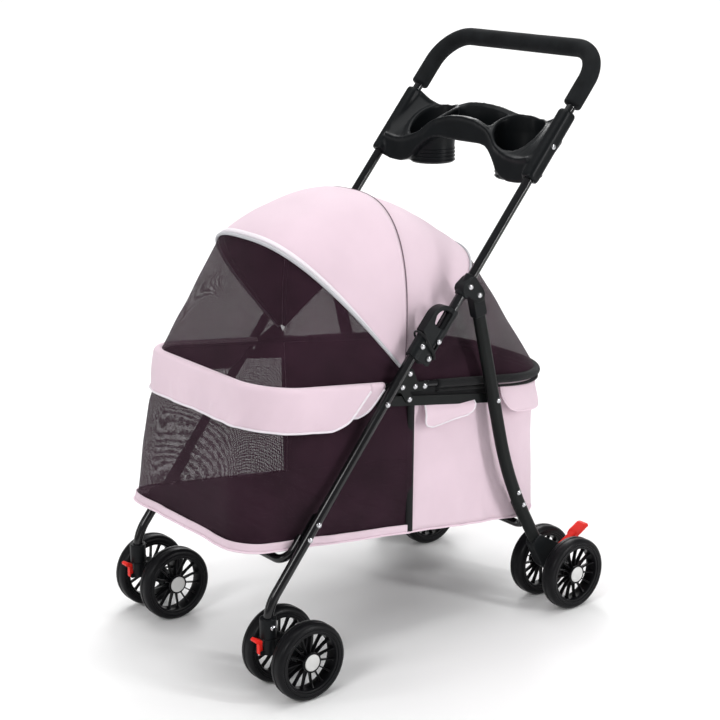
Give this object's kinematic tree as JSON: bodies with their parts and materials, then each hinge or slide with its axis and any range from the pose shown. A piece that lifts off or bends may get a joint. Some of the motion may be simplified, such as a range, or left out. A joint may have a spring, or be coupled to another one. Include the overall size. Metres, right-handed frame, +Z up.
{
  "type": "pet stroller",
  "caption": "Folding pet stroller with a tube frame, twin-wheel casters, soft cabin, hooded canopy and a handle with a cup tray.",
  "frame": {"origin": "on the ground, midway between the side wheels and about 9 mm behind the middle of the whole length", "axes": "+Z up, the front faces -Y, the handle is at +Y, and the user's left side is +X"},
  "size_m": [0.498, 0.7383, 0.9725],
  "materials": {
    "black_tube": "gloss",
    "black_plastic": "gloss",
    "rim_plastic": "satin",
    "red_plastic": "gloss",
    "foam": "matte",
    "elastic": "matte",
    "tyre": "satin",
    "steel": "polished",
    "bow_wire": "satin",
    "pink_fabric": "woven",
    "mesh_fabric": "mesh"
  },
  "bodies": {
    "front_frame": {"front_leg_left": "black_tube", "front_leg_right": "black_tube", "front_cross_tube": "black_tube", "fold_joint_left": "black_plastic", "fold_joint_right": "black_plastic", "caster_sockets": "black_plastic", "swivel_pins": "steel", "safety_rings": "elastic", "front_rivets": "steel"},
    "handle": {"handle_tube": "black_tube", "foam_grip": "foam", "cup_tray": "black_plastic", "leg_brackets": "black_plastic", "handle_rivets": "steel"},
    "latch_left": {"fold_latch_left": "black_plastic"},
    "latch_right": {"fold_latch_right": "black_plastic"},
    "basket": {"side_rail_left": "black_tube", "side_rail_right": "black_tube", "rivet_plates": "black_tube", "rim_tube": "black_tube", "rail_rivets": "steel", "cabin_body": "mesh_fabric", "floor_mat": "mesh_fabric", "rear_canopy": "pink_fabric", "rear_mesh": "mesh_fabric", "middle_bow": "bow_wire"},
    "canopy_front": {"front_bow": "bow_wire", "front_canopy": "pink_fabric", "front_mesh": "mesh_fabric"},
    "rear_frame": {"rear_leg_left": "black_tube", "rear_leg_right": "black_tube", "leg_caps": "black_plastic", "rear_cross_tube": "black_tube", "wheel_housings": "black_plastic", "rear_axles": "steel", "rear_rivets": "steel"},
    "brake_left": {"brake_pedal_left": "red_plastic"},
    "brake_right": {"brake_pedal_right": "red_plastic"},
    "caster_left": {"caster_fork_left": "black_plastic", "front_axle_left": "steel"},
    "caster_right": {"caster_fork_right": "black_plastic", "front_axle_right": "steel"},
    "lock_left": {"swivel_lock_left": "red_plastic"},
    "lock_right": {"swivel_lock_right": "red_plastic"},
    "wheel_front_left_outer": {"tyre_front_left_outer": "tyre", "rim_front_left_outer": "rim_plastic"},
    "wheel_front_left_inner": {"tyre_front_left_inner": "tyre", "rim_front_left_inner": "rim_plastic"},
    "wheel_front_right_outer": {"tyre_front_right_outer": "tyre", "rim_front_right_outer": "rim_plastic"},
    "wheel_front_right_inner": {"tyre_front_right_inner": "tyre", "rim_front_right_inner": "rim_plastic"},
    "wheel_rear_left_outer": {"tyre_rear_left_outer": "tyre", "rim_rear_left_outer": "rim_plastic"},
    "wheel_rear_left_inner": {"tyre_rear_left_inner": "tyre", "rim_rear_left_inner": "rim_plastic"},
    "wheel_rear_right_outer": {"tyre_rear_right_outer": "tyre", "rim_rear_right_outer": "rim_plastic"},
    "wheel_rear_right_inner": {"tyre_rear_right_inner": "tyre", "rim_rear_right_inner": "rim_plastic"}
  },
  "joints": [
    {"name": "fold", "type": "hinge", "parent": "front_frame", "child": "handle", "pos_m": [0, -0.036, 0.497], "axis": [-1, 0, 0], "range_deg": [0, 120], "deforming": ["cabin_body", "floor_mat", "rear_canopy", "rear_mesh", "middle_bow", "front_bow", "front_canopy", "front_mesh", "safety_rings"]},
    {"name": "basket_fold", "type": "hinge", "parent": "front_frame", "child": "basket", "pos_m": [0, -0.1165, 0.435], "axis": [-1, 0, 0], "range_deg": [0, 81]},
    {"name": "rear_leg_fold", "type": "hinge", "parent": "handle", "child": "rear_frame", "pos_m": [0, 0.0697, 0.5853], "axis": [1, 0, 0], "range_deg": [0, 73.2]},
    {"name": "canopy", "type": "hinge", "parent": "basket", "child": "canopy_front", "pos_m": [0, -0.0568, 0.4715], "axis": [1, 0, 0], "range_deg": [-60, 0]},
    {"name": "latch_left", "type": "slide", "parent": "handle", "child": "latch_left", "axis": [0, 0.6374, 0.7705], "range_m": [0, 0.012]},
    {"name": "brake_left", "type": "hinge", "parent": "rear_frame", "child": "brake_left", "pos_m": [0.195, 0.275, 0.0935], "axis": [-1, 0, 0], "range_deg": [0, 20]},
    {"name": "caster_left", "type": "hinge", "parent": "front_frame", "child": "caster_left", "pos_m": [0.195, -0.346, 0.09], "axis": [0, 0, 1], "continuous": true},
    {"name": "lock_left", "type": "hinge", "parent": "caster_left", "child": "lock_left", "pos_m": [0.195, -0.3616, 0.08], "axis": [1, 0, 0], "range_deg": [0, 30]},
    {"name": "latch_right", "type": "slide", "parent": "handle", "child": "latch_right", "axis": [0, 0.6374, 0.7705], "range_m": [0, 0.012]},
    {"name": "brake_right", "type": "hinge", "parent": "rear_frame", "child": "brake_right", "pos_m": [-0.195, 0.275, 0.0935], "axis": [-1, 0, 0], "range_deg": [0, 20]},
    {"name": "caster_right", "type": "hinge", "parent": "front_frame", "child": "caster_right", "pos_m": [-0.195, -0.346, 0.09], "axis": [0, 0, 1], "continuous": true},
    {"name": "lock_right", "type": "hinge", "parent": "caster_right", "child": "lock_right", "pos_m": [-0.195, -0.3616, 0.08], "axis": [1, 0, 0], "range_deg": [0, 30]},
    {"name": "spin_front_left_outer", "type": "hinge", "parent": "caster_left", "child": "wheel_front_left_outer", "pos_m": [0.235, -0.3, 0.0635], "axis": [1, 0, 0], "continuous": true},
    {"name": "spin_front_left_inner", "type": "hinge", "parent": "caster_left", "child": "wheel_front_left_inner", "pos_m": [0.155, -0.3, 0.0635], "axis": [1, 0, 0], "continuous": true},
    {"name": "spin_front_right_outer", "type": "hinge", "parent": "caster_right", "child": "wheel_front_right_outer", "pos_m": [-0.235, -0.3, 0.0635], "axis": [1, 0, 0], "continuous": true},
    {"name": "spin_front_right_inner", "type": "hinge", "parent": "caster_right", "child": "wheel_front_right_inner", "pos_m": [-0.155, -0.3, 0.0635], "axis": [1, 0, 0], "continuous": true},
    {"name": "spin_rear_left_outer", "type": "hinge", "parent": "rear_frame", "child": "wheel_rear_left_outer", "pos_m": [0.235, 0.271, 0.0635], "axis": [1, 0, 0], "continuous": true},
    {"name": "spin_rear_left_inner", "type": "hinge", "parent": "rear_frame", "child": "wheel_rear_left_inner", "pos_m": [0.155, 0.271, 0.0635], "axis": [1, 0, 0], "continuous": true},
    {"name": "spin_rear_right_outer", "type": "hinge", "parent": "rear_frame", "child": "wheel_rear_right_outer", "pos_m": [-0.235, 0.271, 0.0635], "axis": [1, 0, 0], "continuous": true},
    {"name": "spin_rear_right_inner", "type": "hinge", "parent": "rear_frame", "child": "wheel_rear_right_inner", "pos_m": [-0.155, 0.271, 0.0635], "axis": [1, 0, 0], "continuous": true}
  ],
  "couplings": [
    {"joint": "basket_fold", "follows": "fold", "ratio": 0.674},
    {"joint": "rear_leg_fold", "follows": "fold", "ratio": 0.609}
  ]
}
